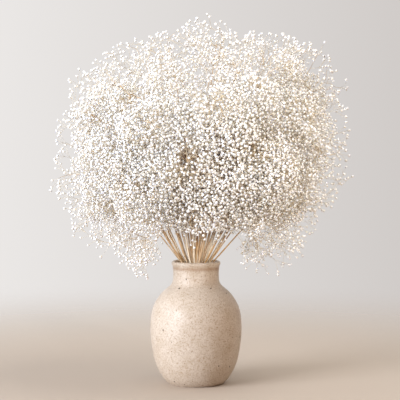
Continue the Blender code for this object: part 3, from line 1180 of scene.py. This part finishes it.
# A sheet of matt card, which turns clear towards its rim so that no line shows where it ends.
card, card_tree, card_shader = new_finish("pale_floor")
card_shader.inputs["Base Color"].default_value = linear("bfb0a0")
card_shader.inputs["Roughness"].default_value = 0.9
from_vase = add_node(
    card_tree,
    "VectorMath",
    {0: add_node(card_tree, "TexCoord").outputs["Object"]},
    operation="LENGTH",
)
fading = add_node(
    card_tree,
    "MapRange",
    {"Value": from_vase.outputs["Value"], "From Min": FLOOR_CLEAR_FROM, "From Max": FLOOR_RADIUS},
    interpolation_type="SMOOTHERSTEP",
)
clear = add_node(card_tree, "BsdfTransparent")
faded = add_node(card_tree, "MixShader", {0: fading.outputs["Result"]})
card_tree.links.new(card_shader.outputs["BSDF"], faded.inputs[1])
card_tree.links.new(clear.outputs["BSDF"], faded.inputs[2])
card_tree.links.new(faded.outputs["Shader"], card_tree.nodes["Material Output"].inputs["Surface"])
floor_mesh.materials.append(card)
floor = bpy.data.objects.new("floor", floor_mesh)
made_for_scene.objects.link(floor)


def lamp(name, kind, place, aim, watts, tint):
    """A lamp that stands at one place and points at another."""
    light = bpy.data.lights.new(name, kind)
    light.energy = watts
    light.color = linear(tint)[:3]
    stand = bpy.data.objects.new(name, light)
    stand.location = place
    stand.rotation_euler = (Vector(aim) - Vector(place)).to_track_quat("-Z", "Y").to_euler()
    made_for_scene.objects.link(stand)
    return light


for name, place, aim, size, watts, tint in (
    ("window_light", (-2.55, -1.95, 1.0), (0, 0, 0.30), 1.8, 166, "eff4ff"),
    ("warm_bounce", (1.9, -1.0, 0.1), (0, 0, 0.10), 1.2, 3.0, "ff9c58"),
    ("high_fill", (1.25, -0.5, 2.6), (0, 0, 0.40), 1.8, 37, "fffdf9"),
):
    soft_box = lamp(name, "AREA", place, aim, watts, tint)
    soft_box.shape = "SQUARE"
    soft_box.size = size

snooted = lamp("crown_fill", "SPOT", (1.0, -2.4, 0.75), (0.080, 0, 0.350), 195, "fffbf5")
snooted.shadow_soft_size = 0.10
snooted.spot_size = math.radians(12.5)
snooted.spot_blend = 1.0

world = bpy.data.worlds.new("soft_surround")
world.use_nodes = True
sky_tree = world.node_tree
surround = sky_tree.nodes["Background"]
outwards = add_node(sky_tree, "TexCoord").outputs["Generated"]
lit_side = add_node(sky_tree, "VectorMath", {0: outwards, 1: BRIGHT_SIDE}, operation="DOT_PRODUCT")
side_glow = add_node(
    sky_tree,
    "MapRange",
    {"Value": lit_side.outputs["Value"], "From Min": -0.5, "From Max": 0.7},
)
surround_light = add_node(
    sky_tree,
    "MixRGB",
    {"Fac": side_glow.outputs["Result"], "Color1": DIM_SIDE_LIGHT, "Color2": BRIGHT_SIDE_LIGHT},
)
sky_tree.links.new(surround_light.outputs["Color"], surround.inputs["Color"])
surround.inputs["Strength"].default_value = 1.0
# The camera sees a plain background in place of the light around it, with painted shade that makes it a
# little darker on the right, as light falling off across a wall would.
rightwards = add_node(sky_tree, "SeparateXYZ", {"Vector": outwards}).outputs["X"]
shading = add_node(sky_tree, "MapRange", {"Value": rightwards, "From Min": -0.15, "From Max": 0.15})
backdrop_tone = add_node(
    sky_tree,
    "MixRGB",
    {"Fac": shading.outputs["Result"], "Color1": linear("ece9e7"), "Color2": linear("cfcac7")},
)
backdrop = add_node(sky_tree, "Background", {"Color": backdrop_tone.outputs["Color"], "Strength": 1.0})
seen = add_node(sky_tree, "MixShader", {0: add_node(sky_tree, "LightPath").outputs["Is Camera Ray"]})
sky_tree.links.new(surround.outputs["Background"], seen.inputs[1])
sky_tree.links.new(backdrop.outputs["Background"], seen.inputs[2])
sky_tree.links.new(seen.outputs["Shader"], sky_tree.nodes["World Output"].inputs["Surface"])
bpy.context.scene.world = world
bpy.context.scene.view_settings.view_transform = "Standard"

lens = bpy.data.cameras.new("camera")
lens.sensor_width = 36
lens.lens = lens.sensor_width * CAMERA_DISTANCE / FRAME_WIDTH
camera = bpy.data.objects.new("camera", lens)
camera.location = (FRAME_MIDDLE.x, -CAMERA_DISTANCE, CAMERA_HEIGHT)
camera.rotation_euler = (FRAME_MIDDLE - camera.location).to_track_quat("-Z", "Y").to_euler()
made_for_scene.objects.link(camera)
bpy.context.scene.camera = camera
